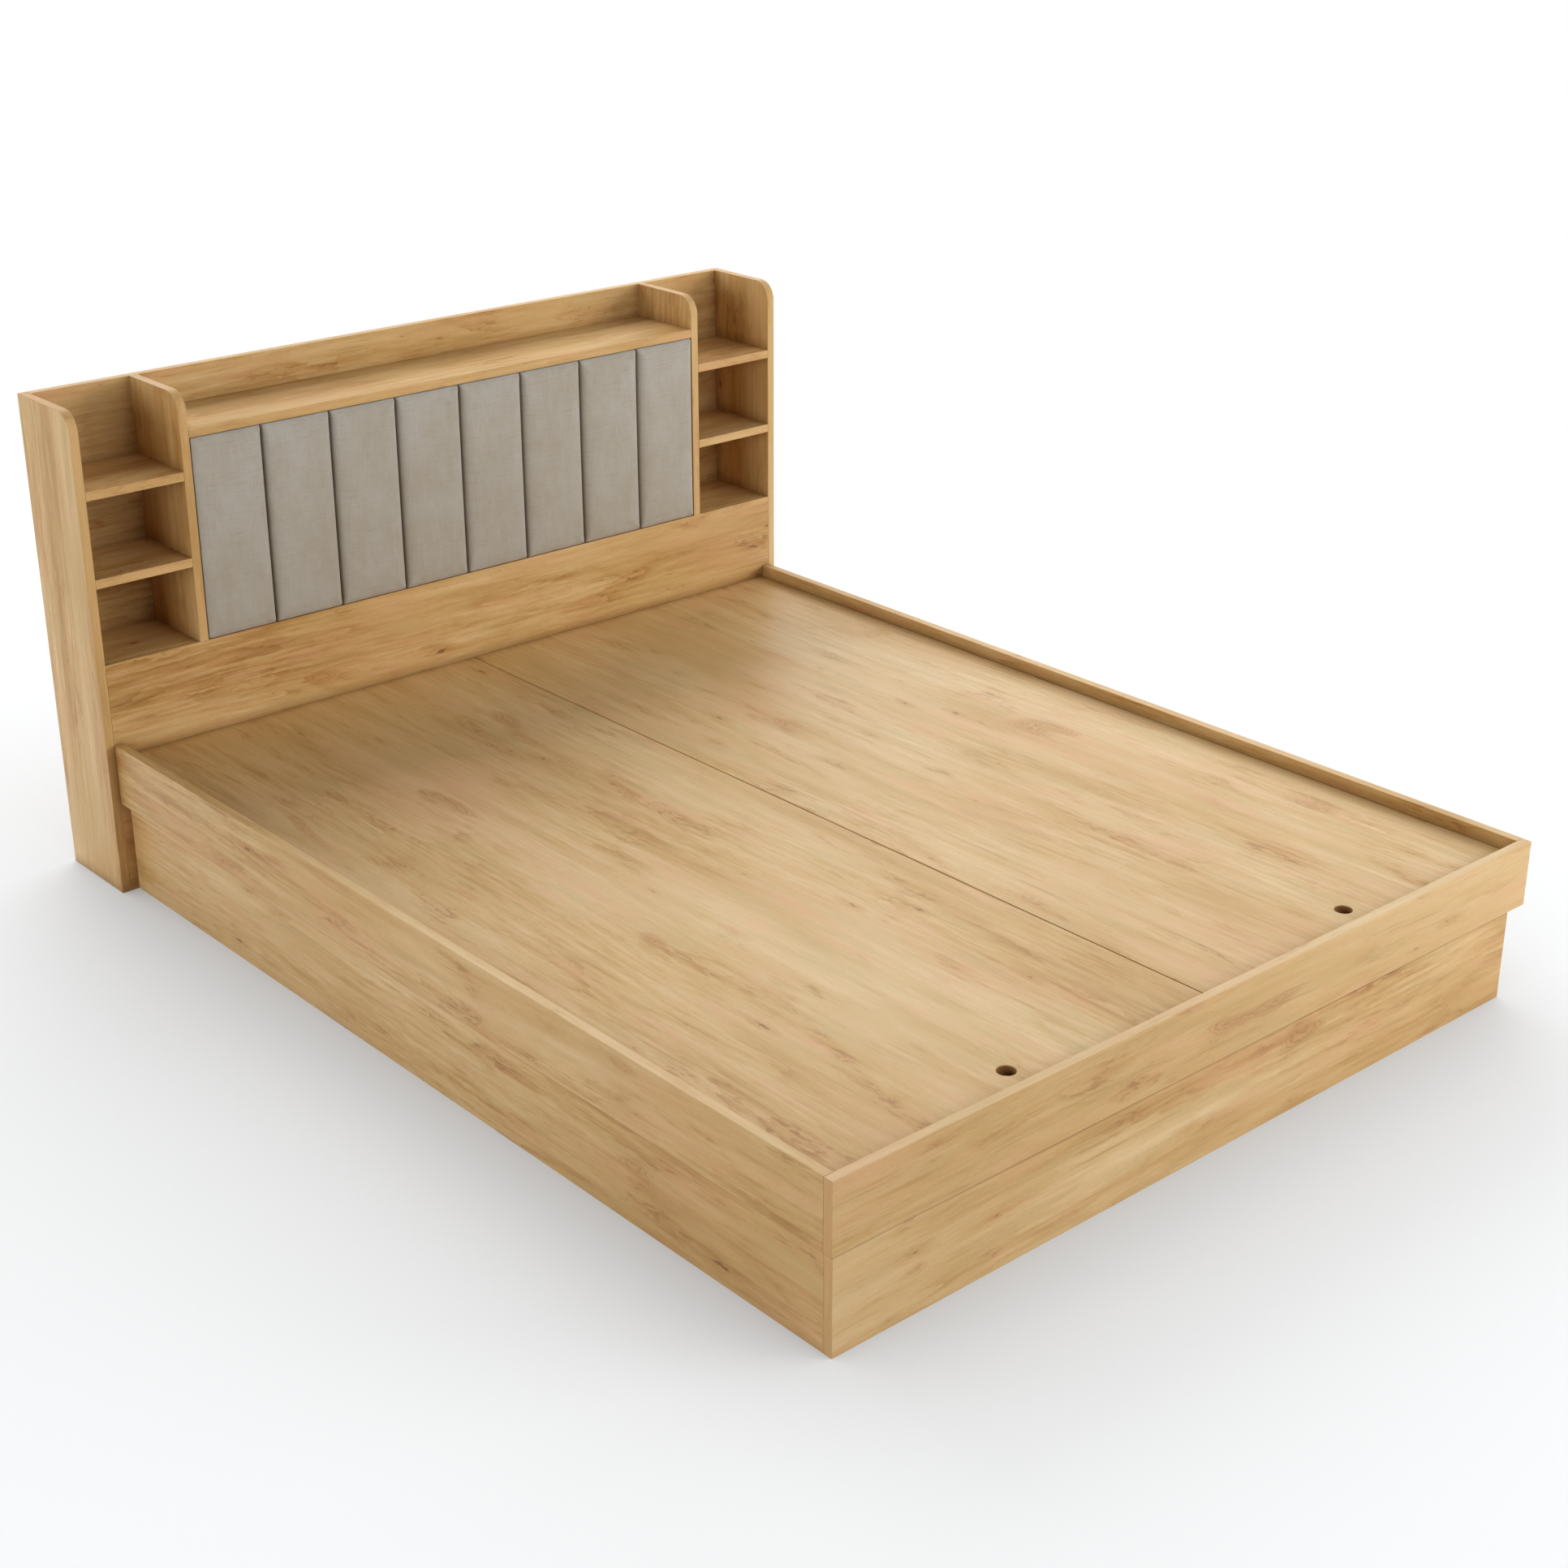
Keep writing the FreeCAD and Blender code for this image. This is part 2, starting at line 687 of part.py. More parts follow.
def main():
    brackets, short_screws = make_brackets()
    short_screws += make_pad_screws()
    wood_screws = make_wood_screws()
    cams, bolts, dowels = make_shelf_fittings()
    make_hinges()
    make_headboard()
    make_pads()
    make_box()
    for side, name in SIDES:
        make_lid(side, name)
    add_group("corner_brackets", brackets)
    add_group("short_screws", short_screws)
    add_group("wood_screws", wood_screws)
    add_group("cam_locks", cams)
    add_group("cam_bolts", bolts)
    add_group("shelf_dowels", dowels)
    os.makedirs("parts", exist_ok=True)
    for name, shape in nodes.items():
        shape.exportStep("parts/%s.step" % name)
    print(len(nodes), "nodes,", sum(len(shape.Solids) for shape in nodes.values()), "solids")


main()
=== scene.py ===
import math
import random

import bmesh
import bpy
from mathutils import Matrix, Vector


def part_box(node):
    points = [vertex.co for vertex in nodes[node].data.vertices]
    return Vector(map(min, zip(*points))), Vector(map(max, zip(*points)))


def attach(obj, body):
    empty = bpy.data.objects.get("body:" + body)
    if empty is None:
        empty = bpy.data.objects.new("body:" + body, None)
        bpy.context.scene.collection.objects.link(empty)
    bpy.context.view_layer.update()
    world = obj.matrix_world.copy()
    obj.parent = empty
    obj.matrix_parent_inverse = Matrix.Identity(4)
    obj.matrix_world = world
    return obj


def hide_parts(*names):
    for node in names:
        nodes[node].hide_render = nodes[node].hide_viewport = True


# Storage bed: laminated oak boards, a padded headboard in eight channels, and two lids in the deck.
# Metres, Z up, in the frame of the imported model.

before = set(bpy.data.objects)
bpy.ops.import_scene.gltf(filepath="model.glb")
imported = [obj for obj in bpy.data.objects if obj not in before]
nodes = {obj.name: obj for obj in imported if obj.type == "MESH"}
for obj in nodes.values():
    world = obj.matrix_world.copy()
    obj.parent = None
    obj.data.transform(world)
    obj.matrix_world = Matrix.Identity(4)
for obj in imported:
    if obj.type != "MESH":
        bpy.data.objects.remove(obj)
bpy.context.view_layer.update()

# Camera, as solved from the corners of the boards
CAMERA_PLACE = (-2.76662, -3.22618, 2.13923)
CAMERA_YAW = math.radians(-41.31)
CAMERA_PITCH = math.radians(-23.51)
CAMERA_LENS = 57.145
CAMERA_SENSOR = 36.0

# Light
SKY_LEVEL = 0.04
LAMPS = (
    # name, place, width, height, watts
    ("front_lamp", (0.8, -5.2, 3.6), 3.5, 2.5, 94.0),
    ("front_right_lamp", (4.5, -5.0, 2.0), 3.5, 2.5, 270.0),
    ("left_lamp", (-6.0, -0.5, 1.6), 3.5, 2.2, 142.0),
    ("right_lamp", (4.6, 0.0, 4.0), 3.5, 3.0, 60.0),
    ("back_right_lamp", (5.0, 4.5, 3.0), 3.5, 2.5, 240.0),
    ("back_lamp", (0.5, 4.8, 4.2), 4.0, 3.0, 236.0),
    ("low_back_lamp", (0.5, 6.5, 2.9), 5.0, 2.4, 40.0),
    ("back_left_lamp", (-4.5, 5.0, 3.0), 3.5, 2.5, 54.0),
)
LAMP_AIM = (0.0, 0.0, 0.3)

# Floor
FLOOR_HALF = 40.0
FLOOR_BOUNCE = 0.82
# The floor's colour when seen, a little blue against the warm light bounced from the bed, and the share
# of its glow with the painted shadow
FLOOR_TINT = (0.965, 1.0, 1.035, 1.0)
FLOOR_GLOW_SHARE = 0.7
# The painted shadow in the floor's glow: how far its occlusion reaches, and how deep it gets
SHADE_REACH = 2.0
SHADE_DEPTH = 0.85
FADE_START = 2.2
FADE_END = 4.5

# Padded channels, and the step of their grid
PAD_COUNT = 8
PAD_STEP = 0.0075

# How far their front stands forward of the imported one, and how far behind that the cloth starts
PAD_PROUD = 0.005
PAD_START = 0.0042

# Their rounded rim, their crown, and how uneven that is
PAD_RIM = 0.012
PAD_RIM_DEPTH = 0.0125
PAD_RIM_STEPS = 5
PAD_CROWN = 0.0008
PAD_UNEVEN = 0.3

# The cloth that fills them: its longest swell, pressure, stiffness and frames
PAD_CAP = 0.0042
PAD_PRESSURE = 4.0
PAD_STIFFNESS = 25.0
PAD_BENDING = 1.5
PAD_FRAMES = 20
HELD_MARGIN = 0.00001
SMALLEST_STEP = 1e-9

# Finger holes: from the foot end of the lid to their middle, and their radius
HOLE_INSET = 0.062
HOLE_RADIUS = 0.0155


def srgb(red, green, blue):
    """A colour written as it looks on a screen, 0 to 255, as linear light."""
    def linear(value):
        """One channel."""
        share = value / 255
        return share / 12.92 if share <= 0.04045 else ((share + 0.055) / 1.055) ** 2.4
    return (linear(red), linear(green), linear(blue), 1.0)


class Tree:
    """Adds nodes to a node tree and links them."""

    def __init__(self, tree):
        self.tree = tree

    def add(self, kind, **settings):
        """A new node with some of its settings."""
        node = self.tree.nodes.new(kind)
        for key, value in settings.items():
            setattr(node, key, value)
        return node

    def feed(self, socket, value):
        """Links an output to a socket, or sets the socket's own value."""
        if isinstance(value, bpy.types.NodeSocket):
            self.tree.links.new(value, socket)
        else:
            socket.default_value = value

    def math(self, operation, *values):
        """A sum on numbers."""
        node = self.add("ShaderNodeMath", operation=operation)
        for socket, value in zip(node.inputs, values):
            self.feed(socket, value)
        return node.outputs[0]

    def vector_math(self, operation, *values):
        """A sum on vectors."""
        node = self.add("ShaderNodeVectorMath", operation=operation)
        for socket, value in zip(node.inputs, values):
            self.feed(socket, value)
        return node.outputs["Value" if operation == "LENGTH" else "Vector"]

    def split(self, vector):
        """The three parts of a vector."""
        node = self.add("ShaderNodeSeparateXYZ")
        self.feed(node.inputs[0], vector)
        return list(node.outputs)

    def join(self, *values):
        """A vector from three parts."""
        node = self.add("ShaderNodeCombineXYZ")
        for socket, value in zip(node.inputs, values):
            self.feed(socket, value)
        return node.outputs[0]

    def noise(self, vector, detail=2.0, roughness=0.5, distortion=0.0):
        """Noise of one cycle per unit of its vector, about 0.5."""
        node = self.add("ShaderNodeTexNoise")
        self.feed(node.inputs["Vector"], vector)
        node.inputs["Scale"].default_value = 1.0
        node.inputs["Detail"].default_value = detail
        node.inputs["Roughness"].default_value = roughness
        node.inputs["Distortion"].default_value = distortion
        return node.outputs["Fac"]

    def remap(self, value, low, high, to_low=0.0, to_high=1.0):
        """A value from one span moved softly to another."""
        node = self.add("ShaderNodeMapRange", interpolation_type="SMOOTHSTEP")
        for key, item in (("Value", value), ("From Min", low), ("From Max", high),
                          ("To Min", to_low), ("To Max", to_high)):
            self.feed(node.inputs[key], item)
        return node.outputs["Result"]

    def about(self, value, reach):
        """A noise value moved to swing about zero."""
        return self.math("MULTIPLY", self.math("SUBTRACT", value, 0.5), reach)

    def total(self, *values):
        """All the values added up."""
        result = values[0]
        for value in values[1:]:
            result = self.math("ADD", result, value)
        return result

    def ramp(self, value, stops):
        """Colours along a value, from (place, colour) stops."""
        node = self.add("ShaderNodeValToRGB")
        elements = node.color_ramp.elements
        while len(elements) < len(stops):
            elements.new(0.5)
        for element, (place, colour) in zip(elements, stops):
            element.position = place
            element.color = colour
        self.feed(node.inputs[0], value)
        return node.outputs[0]

    def blend(self, factor, first, second, kind="MIX"):
        """From the first colour at 0 to the second at 1."""
        node = self.add("ShaderNodeMix", data_type="RGBA", blend_type=kind)
        self.feed(node.inputs[0], factor)
        self.feed(node.inputs[6], first)
        self.feed(node.inputs[7], second)
        return node.outputs[2]

    def choose(self, factor, first, second):
        """From the first vector at 0 to the second at 1."""
        node = self.add("ShaderNodeMix", data_type="VECTOR")
        self.feed(node.inputs[0], factor)
        self.feed(node.inputs[4], first)
        self.feed(node.inputs[5], second)
        return node.outputs[1]

    def seen_directly(self):
        """1 where a camera, mirror or glass ray looks, and 0 for the light that falls on the object."""
        path = self.add("ShaderNodeLightPath").outputs
        either = self.math("MAXIMUM", path["Is Camera Ray"], path["Is Glossy Ray"])
        return self.math("MAXIMUM", either, path["Is Transmission Ray"])


class Finish(Tree):
    """One material with a principled shader."""

    def __init__(self, name):
        self.material = bpy.data.materials.new(name)
        self.material.use_nodes = True
        super().__init__(self.material.node_tree)
        self.tree.nodes.clear()
        self.shader = self.add("ShaderNodeBsdfPrincipled")
        output = self.add("ShaderNodeOutputMaterial")
        self.tree.links.new(self.shader.outputs["BSDF"], output.inputs["Surface"])
        self.coordinates = self.add("ShaderNodeTexCoord").outputs

    def set(self, **values):
        """Sets or links sockets of the shader by name."""
        for key, value in values.items():
            self.feed(self.shader.inputs[key.replace("_", " ")], value)

    def scaled(self, vector, *scale):
        """A vector stretched along each axis."""
        return self.vector_math("MULTIPLY", vector, scale)

    def swings(self, fields, reaches):
        """Several fields, each moved to swing about zero by its own reach."""
        return [self.about(fields[key], reach) for key, reach in reaches.items()]

    def tint(self, colour, mask, share, tone):
        """Lays a tone over a colour where a mask is up."""
        return self.blend(self.math("MULTIPLY", mask, share), colour, tone)

    def wash(self, colour, fields, washes):
        """Lays tones over a colour, each by the strength of a field."""
        for key, start, full, least, most, tone in washes:
            colour = self.blend(self.remap(fields[key], start, full, least, most), colour, tone)
        return colour

    def facing(self, axis):
        """How far a face looks along an axis, either way."""
        return self.split(self.vector_math("ABSOLUTE", self.coordinates["Normal"]))[axis]

    def upward(self):
        """How far a face looks up."""
        return self.split(self.coordinates["Normal"])[2]

    def bump(self, height, strength, distance):
        """A fine relief on the surface."""
        node = self.add("ShaderNodeBump")
        self.feed(node.inputs["Height"], height)
        node.inputs["Strength"].default_value = strength
        node.inputs["Distance"].default_value = distance
        self.tree.links.new(node.outputs["Normal"], self.shader.inputs["Normal"])


# Woods

AXES = {"x": 0, "y": 1, "z": 2}

# The share of its normal above which a face is said to look along an axis
EDGE_LIMIT = 0.7

# The oak print, from its palest tone to its darkest, and the colours laid over it
OAK_TONES = (
    (0.14, srgb(222, 194, 147)),
    (0.38, srgb(209, 175, 122)),
    (0.56, srgb(195, 157, 100)),
    (0.74, srgb(174, 131, 75)),
    (0.95, srgb(144, 99, 51)),
)
OAK_ROSE = srgb(210, 159, 115)
OAK_OLIVE = srgb(188, 160, 106)
OAK_AMBER = srgb(178, 126, 68)
OAK_LINE = srgb(136, 94, 48)
OAK_FLECK = srgb(104, 68, 32)
OAK_BAND = srgb(210, 172, 118)
# The colour of the painted shade in corners and under the rail's overhang
OAK_PAINTED_SHADE = (0.42, 0.3, 0.18, 1.0)
RAW_BOARD = srgb(152, 112, 68)
# The tint of the painted light that pales level faces toward the foot of the bed
PAINTED_LIGHT_TINT = (1.1, 1.2, 1.45, 1.0)

# Each board's stretch of the print is drawn from this many metres either way
PRINT_REACH = 9

# How the grain wanders: cycles per metre across and along it, and how far
GRAIN_WANDERS = (
    (2.4, 0.9, 0.05),
    (18.0, 7.0, 0.007),
)

OAK_FIELDS = {
    # noise: cycles per metre across and along the grain, detail, roughness, distortion
    "tone": (5.0, 0.8, 2.0, 0.5, 0.0),
    "streak": (15.0, 1.6, 3.0, 0.55, 0.0),
    "band": (44.0, 3.2, 2.0, 0.5, 0.0),
    "line": (115.0, 6.5, 3.0, 0.6, 0.0),
    "fibre": (450.0, 18.0, 2.0, 0.6, 0.0),
    "pores": (850.0, 60.0, 1.0, 0.5, 0.0),
    "hue": (7.0, 2.2, 1.0, 0.5, 0.0),
    "tint": (34.0, 4.5, 2.0, 0.5, 0.0),
    "flow": (11.0, 1.5, 2.0, 0.5, 0.0),
    "crown": (15.0, 4.2, 1.0, 0.5, 0.0),
    "patch": (19.0, 4.6, 2.0, 0.5, 0.0),
    "feather": (130.0, 30.0, 3.0, 0.6, 0.8),
    "busy": (6.0, 1.5, 1.0, 0.5, 0.0),
    "hair": (190.0, 4.0, 2.0, 0.5, 0.0),
}

# How far each field swings the depth of the print; the fine ones swing more where it is busy.
# Spans are from and to, and then, where there are four, least and most.
BROAD_SWINGS = {"tone": 0.8, "streak": 0.5, "band": 0.42, "fibre": 0.22}
FINE_SWINGS = {"line": 0.46, "feather": 0.2}
BUSY_SPAN = (0.38, 0.62, 0.5, 1.5)
MIDDLE_DEPTH = 0.5

# Flames: rings in the flow, how ragged they are, how fast each one fades, and in which patches
RING_COUNT = 11.0
RING_SWINGS = {"line": 0.7, "feather": 0.5}
RING_FADE = 3.0
RING_SPAN = (0.42, 0.66, 0.0, 0.16)

OAK_WASHES = (
    # field, where it starts, where it is full, least share, most share, colour
    ("hue", 0.5, 0.75, 0.0, 0.3, OAK_ROSE),
    ("tint", 0.5, 0.75, 0.0, 0.4, OAK_ROSE),
    ("tint", 0.48, 0.25, 0.0, 0.4, OAK_OLIVE),
    ("hair", 0.64, 0.74, 0.0, 0.3, OAK_LINE),
    ("patch", 0.58, 0.72, 0.0, 0.3, OAK_AMBER),
)
PORE_WASHES = (("pores", 0.6, 0.8, 0.0, 0.25, OAK_LINE),)

# Dark strokes in the patches
STROKE_PATCH = (0.58, 0.72)
STROKE_FEATHER = (0.5, 0.64)
STROKE_SHARE = 0.5

# Hearts, and the loops in them
HEART_CROWN = (0.66, 0.76)
HEART_HUE = (0.45, 0.6)
HEART_SHARE = 0.45
LOOP_TURNS = {"crown": 240.0, "line": 10.0, "feather": 12.0}
LOOP_SPAN = (0.1, 1.0)
LOOP_SHARE = 0.4

OAK_FLECKS = (
    # cells per metre across and along, size, share of the cells, halo and core strength, core colour
    (24.0, 6.5, 0.1, 0.12, 0.45, 0.7, OAK_FLECK),
    (52.0, 14.0, 0.12, 0.07, 0.25, 0.6, OAK_LINE),
)
FLECK_CORE = 0.3
FLECK_HALO = (4, 0.5)
FLECK_FINENESS = 9
FLECK_RAGGEDNESS = 0.35

# Edges with their band, and end faces
BAND_SHARE = 0.3
END_SHARE = 0.35

# Painted shade in the corners a board makes with the boards beside it, softer in the cubbies
CORNER_SHADE_REACH = 0.035
CORNER_SHADE_SPAN = (0.9, 0.5)
CORNER_SHADE_BOARDS = ("oak_headboard", "oak_tower", "oak_lid", "oak_rail")
CORNER_SHADE_SHARE = 0.6
CUBBY_BOARDS = ("oak_tower", "oak_headboard_back", "oak_headboard_divider")
CUBBY_CORNER_SHADE_SHARE = 0.4

# The painted shadow under the rail: how far below its lower edge it is full, and where it ends
RAIL_SHADOW_NEAR = 0.0168
RAIL_SHADOW_FAR = 0.0202
RAIL_SHADOW_SHARE = 0.5

# How far beyond the finger hole's radius its wall is still raw board
HOLE_MARGIN = 0.0004

# Gloss by the streaks, and how much the pores add to the relief of the fibre
OAK_ROUGHNESS = (0.2, 0.8, 0.38, 0.5)
PORE_RELIEF = 0.5


def grain_vector(finish, along, thickness, shift):
    """Board coordinates as (across, along, through). End faces get their grain along the edge."""
    across = ({0, 1, 2} - {AXES[along], AXES[thickness]}).pop()
    parts = finish.split(finish.vector_math("ADD", finish.coordinates["Object"], shift))
    run, cross, through = parts[AXES[along]], parts[across], parts[AXES[thickness]]
    end = finish.math("GREATER_THAN", finish.facing(AXES[along]), EDGE_LIMIT)
    straight = finish.choose(end, finish.join(cross, run, through), finish.join(run, cross, through))
    return straight, end


def wandering(finish, straight):
    """The grain with its slow sway and its ripple."""
    wanders = []
    for across, run, reach in GRAIN_WANDERS:
        field = finish.noise(finish.scaled(straight, across, run, across), detail=1.0)
        wanders.append(finish.about(field, reach))
    return finish.vector_math("ADD", straight, finish.join(finish.total(*wanders), 0.0, 0.0))


def oak_depth(finish, fields, shade, figure):
    """How deep the print's tone is: broad swings, fine lines and flames."""
    rings = finish.total(finish.math("MULTIPLY", fields["flow"], RING_COUNT),
                         *finish.swings(fields, RING_SWINGS))
    falling = finish.math("SUBTRACT", 1.0, finish.math("FRACT", rings))
    flame = finish.math("POWER", falling, RING_FADE)
    flame = finish.math("MULTIPLY", flame, finish.remap(fields["patch"], *RING_SPAN))
    fine = finish.total(flame, *finish.swings(fields, FINE_SWINGS))
    fine = finish.math("MULTIPLY", fine, finish.remap(fields["busy"], *BUSY_SPAN))
    swing = finish.total(fine, *finish.swings(fields, BROAD_SWINGS))
    return finish.math("ADD", finish.math("MULTIPLY", swing, figure), MIDDLE_DEPTH + shade)


def oak_strokes(finish, colour, fields):
    """Dark strokes in the patches, and hearts with loops."""
    strokes = finish.math("MULTIPLY", finish.remap(fields["patch"], *STROKE_PATCH),
                          finish.remap(fields["feather"], *STROKE_FEATHER))
    colour = finish.tint(colour, strokes, STROKE_SHARE, OAK_LINE)
    heart = finish.math("MULTIPLY", finish.remap(fields["crown"], *HEART_CROWN),
                        finish.remap(fields["hue"], *HEART_HUE))
    turns = (finish.math("MULTIPLY", fields[key], count) for key, count in LOOP_TURNS.items())
    wave = finish.math("SINE", finish.total(*turns))
    loops = finish.math("MULTIPLY", finish.remap(wave, *LOOP_SPAN), heart)
    colour = finish.tint(colour, heart, HEART_SHARE, OAK_AMBER)
    return finish.tint(colour, loops, LOOP_SHARE, OAK_LINE)


def oak_flecks(finish, grain, across, run, size, share):
    """Small dark flecks with a soft halo, in some of the cells of a stretched cell pattern."""
    cells = finish.add("ShaderNodeTexVoronoi")
    finish.feed(cells.inputs["Vector"], finish.scaled(grain, across, run, across))
    cells.inputs["Scale"].default_value = 1.0
    fineness = (across * FLECK_FINENESS, run * FLECK_FINENESS, across * FLECK_FINENESS)
    ragged = finish.about(finish.noise(finish.scaled(grain, *fineness)), FLECK_RAGGEDNESS)
    reach = finish.total(cells.outputs["Distance"], ragged)
    chosen = finish.math("LESS_THAN", finish.split(cells.outputs["Color"])[0], share)
    halo_start, halo_full = FLECK_HALO
    core = finish.remap(reach, size, size * FLECK_CORE)
    halo = finish.remap(reach, size * halo_start, size * halo_full)
    return finish.math("MULTIPLY", core, chosen), finish.math("MULTIPLY", halo, chosen)


def oak_painted_light(finish, colour, share, start, full):
    """Paints light onto the print of a board's level faces, paler more and more between two places
    along the bed.
    """
    from_head = finish.split(finish.coordinates["Object"])[1]
    amount = finish.remap(from_head, start, full, 0.0, share)
    return finish.blend(finish.math("MULTIPLY", amount, finish.facing(2)), colour, PAINTED_LIGHT_TINT, "MULTIPLY")


def oak_hole(finish, colour, hole, edge):
    """Shows the raw board on the wall of the finger hole."""
    local = finish.vector_math("SUBTRACT", finish.coordinates["Object"], hole)
    flat = finish.vector_math("LENGTH", finish.scaled(local, 1.0, 1.0, 0.0))
    near = finish.math("LESS_THAN", flat, HOLE_RADIUS + HOLE_MARGIN)
    return finish.blend(finish.math("MULTIPLY", near, edge), colour, RAW_BOARD)


def oak_painted_rail_shadow(finish, colour, below):
    """Paints the shadow of the rail's overhang as a narrow darker strip."""
    height = finish.split(finish.coordinates["Object"])[2]
    shadow = finish.remap(height, below - RAIL_SHADOW_FAR, below - RAIL_SHADOW_NEAR, 0.0, RAIL_SHADOW_SHARE)
    return finish.blend(shadow, colour, OAK_PAINTED_SHADE, "MULTIPLY")


def oak_painted_corner_shade(finish, colour, most, top_only):
    """Paints shade into the print, from an occlusion node, in the corners that a board makes with those
    that stay next to it.
    """
    occlusion = finish.add("ShaderNodeAmbientOcclusion", samples=6)
    occlusion.inputs["Distance"].default_value = CORNER_SHADE_REACH
    share = finish.remap(occlusion.outputs["AO"], *CORNER_SHADE_SPAN, 0.0, most)
    if top_only:
        upward = finish.math("GREATER_THAN", finish.upward(), EDGE_LIMIT)
        share = finish.math("MULTIPLY", share, upward)
    return finish.blend(share, colour, OAK_PAINTED_SHADE, "MULTIPLY")


def oak_print(finish, grain, shade, figure):
    """The printed figure alone, and its fields."""
    fields = {}
    for key, (across, run, *settings) in OAK_FIELDS.items():
        fields[key] = finish.noise(finish.scaled(grain, across, run, across), *settings)
    colour = finish.ramp(oak_depth(finish, fields, shade, figure), OAK_TONES)
    colour = finish.wash(colour, fields, OAK_WASHES)
    colour = oak_strokes(finish, colour, fields)
    for across, run, size, share, halo_strength, core_strength, tone in OAK_FLECKS:
        core, halo = oak_flecks(finish, grain, across, run, size, share)
        colour = finish.tint(colour, halo, halo_strength, OAK_AMBER)
        colour = finish.tint(colour, core, core_strength, tone)
    return finish.wash(colour, fields, PORE_WASHES), fields


def oak(name, along, thickness, seed, shade=0.0, figure=1.0, pale=None, hole=None, below=None):
    """Oak print laminate with its grain along one axis of the board."""
    finish = Finish(name)
    draw = random.Random(seed)
    shift = tuple(draw.uniform(-PRINT_REACH, PRINT_REACH) for _ in range(3))
    straight, end = grain_vector(finish, along, thickness, shift)
    colour, fields = oak_print(finish, wandering(finish, straight), shade, figure)
    edge = finish.math("LESS_THAN", finish.facing(AXES[thickness]), EDGE_LIMIT)
    colour = finish.tint(colour, edge, BAND_SHARE, OAK_BAND)
    colour = finish.tint(colour, end, END_SHARE, OAK_AMBER)
    # Painted light on level faces
    if pale:
        colour = oak_painted_light(finish, colour, *pale)
    if hole:
        colour = oak_hole(finish, colour, hole, edge)
    # Painted shadow under the rail's overhang
    if below:
        colour = oak_painted_rail_shadow(finish, colour, below)
    # Painted shade in the corners, softer in the cubbies; on the lids only on their top faces
    if name.startswith(CORNER_SHADE_BOARDS):
        most = CUBBY_CORNER_SHADE_SHARE if name.startswith(CUBBY_BOARDS) else CORNER_SHADE_SHARE
        colour = oak_painted_corner_shade(finish, colour, most, top_only=bool(hole))
    finish.set(Base_Color=colour, Roughness=finish.remap(fields["streak"], *OAK_ROUGHNESS))
    finish.set(Specular_IOR_Level=0.3, Coat_Weight=0.15, Coat_Roughness=0.35)
    relief = finish.total(fields["fibre"], finish.math("MULTIPLY", fields["pores"], PORE_RELIEF))
    finish.bump(relief, strength=0.12, distance=0.0004)
    return finish.material


# Uncoated wood: its lines, its broad tones and its roughness
WOOD_LINES = (0.3, 0.7)
WOOD_BROAD = (0.4, 0.75, 0.0, 0.5)
WOOD_BROADER = 8
WOOD_ROUGHNESS = (0.2, 0.8, 0.6, 0.75)


def plain_wood(name, along, pale, dark, shift, across=90.0, run=3.0):
    """Uncoated softwood or beech: straight grain between two colours."""
    finish = Finish(name)
    place = finish.vector_math("ADD", finish.coordinates["Object"], shift)
    scale = [across, across, across]
    scale[AXES[along]] = run
    broad_scale = [cycles / WOOD_BROADER for cycles in scale]
    lines = finish.noise(finish.scaled(place, *scale), detail=4.0, roughness=0.6, distortion=0.4)
    broad = finish.noise(finish.scaled(place, *broad_scale), detail=2.0)
    colour = finish.blend(finish.remap(lines, *WOOD_LINES), pale, dark)
    colour = finish.blend(finish.remap(broad, *WOOD_BROAD), colour, dark)
    finish.set(Base_Color=colour, Roughness=finish.remap(lines, *WOOD_ROUGHNESS))
    finish.bump(lines, strength=0.2, distance=0.0005)
    return finish.material


# Plywood: colours of its face and of the layers on its edges, and the face's cycles per metre
PLY_FACE_PALE = srgb(214, 186, 142)
PLY_FACE_DARK = srgb(190, 155, 108)
PLY_FACE_LINE = srgb(160, 122, 80)
PLY_LAYER_PALE = srgb(205, 176, 132)
PLY_LAYER_DARK = srgb(140, 103, 66)
PLY_SCALES = {"z": (9.0, 1.2, 9.0), "y": (1.6, 9.0, 9.0)}
PLY_FINENESS = 30
PLY_FIGURE = (0.35, 0.65)
PLY_FINE = (0.4, 0.7, 0.0, 0.25)
PLY_BANDS = (-0.3, 0.3)
PLY_ROUGHNESS = (0.2, 0.8, 0.58, 0.7)


def plywood(name, thickness, layers):
    """Plywood: a rotary cut face, and layers that show on the edges."""
    finish = Finish(name)
    place = finish.coordinates["Object"]
    scale = PLY_SCALES[thickness]
    fine_scale = [PLY_FINENESS * cycles for cycles in scale]
    figure = finish.noise(finish.scaled(place, *scale), detail=5.0, roughness=0.6, distortion=1.2)
    fine = finish.noise(finish.scaled(place, *fine_scale), detail=2.0)
    face = finish.blend(finish.remap(figure, *PLY_FIGURE), PLY_FACE_PALE, PLY_FACE_DARK)
    face = finish.blend(finish.remap(fine, *PLY_FINE), face, PLY_FACE_LINE)
    depth = finish.split(place)[AXES[thickness]]
    bands = finish.math("SINE", finish.math("MULTIPLY", depth, layers))
    core = finish.blend(finish.remap(bands, *PLY_BANDS), PLY_LAYER_PALE, PLY_LAYER_DARK)
    edge = finish.math("LESS_THAN", finish.facing(AXES[thickness]), EDGE_LIMIT)
    finish.set(Base_Color=finish.blend(edge, face, core))
    finish.set(Roughness=finish.remap(fine, *PLY_ROUGHNESS))
    finish.bump(figure, strength=0.1, distance=0.0006)
    return finish.material


# Metals

# The mottle, and rubbed marks: their cycles per metre and how much rougher they make the metal
MOTTLE_SPAN = (0.35, 0.65)
MARK_SPAN = (0.3, 0.7)
MARK_SCALE = (90.0, 2500.0, 900.0)
MARK_ROUGHNESS = 0.14


